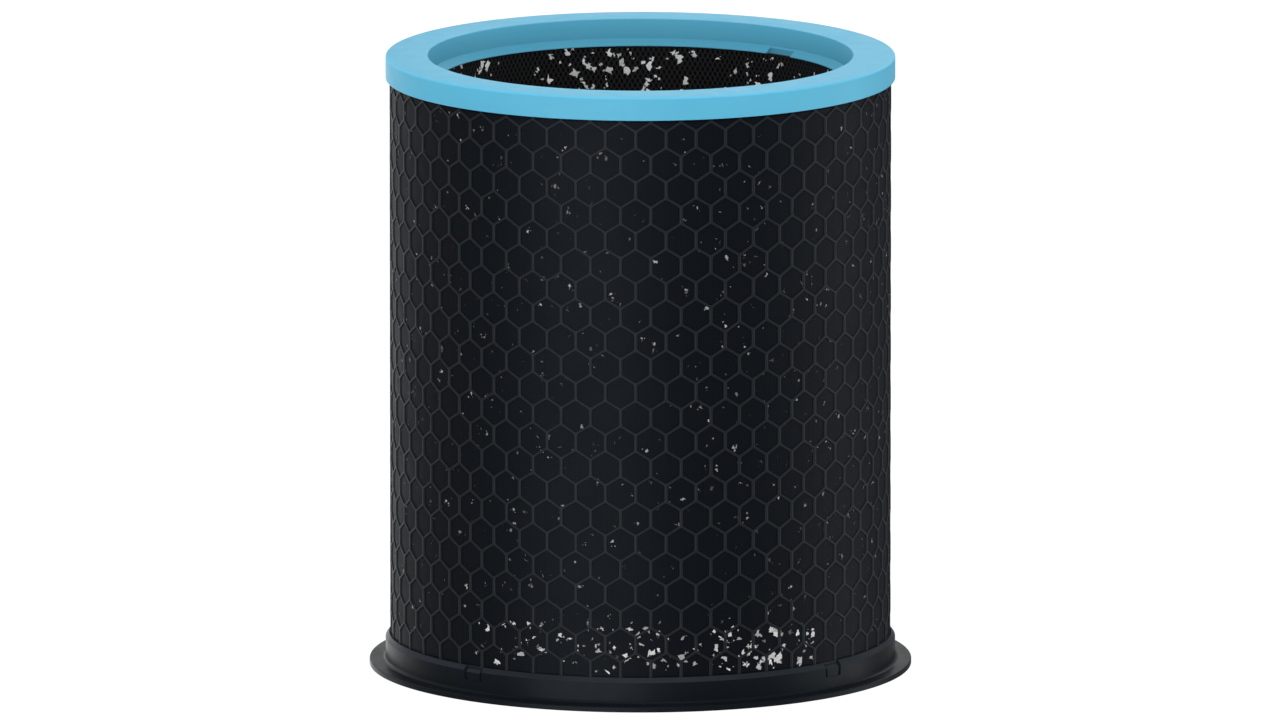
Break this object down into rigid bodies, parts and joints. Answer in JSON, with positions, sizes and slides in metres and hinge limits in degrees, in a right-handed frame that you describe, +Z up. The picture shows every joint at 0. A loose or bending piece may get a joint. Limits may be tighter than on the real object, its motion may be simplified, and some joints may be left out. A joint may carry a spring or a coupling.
{
  "type": "air purifier filter",
  "caption": "Drum filter: a ring of carbon granules between a honeycomb cage and a perforated tube, with a flanged base cap and an open ring cap round the air outlet.",
  "frame": {"origin": "middle of the base cap's flat underside", "axes": "+Z up the drum's axis from the base cap to the top cap, -Y towards the viewer of the picture"},
  "size_m": [0.24, 0.24, 0.273],
  "materials": {
    "black_cap": "satin moulded",
    "black_cage": "satin ribs over fine mesh",
    "granules": "rough granules",
    "black_net": "fine perforated net",
    "foam": "open foam",
    "blue_cap": "satin moulded"
  },
  "bodies": {
    "root": {"base_cap": "black_cap", "honeycomb_cage": "black_cage", "carbon_bed": "granules", "inner_tube": "black_net", "top_pad": "foam", "top_cap": "blue_cap"}
  },
  "joints": []
}
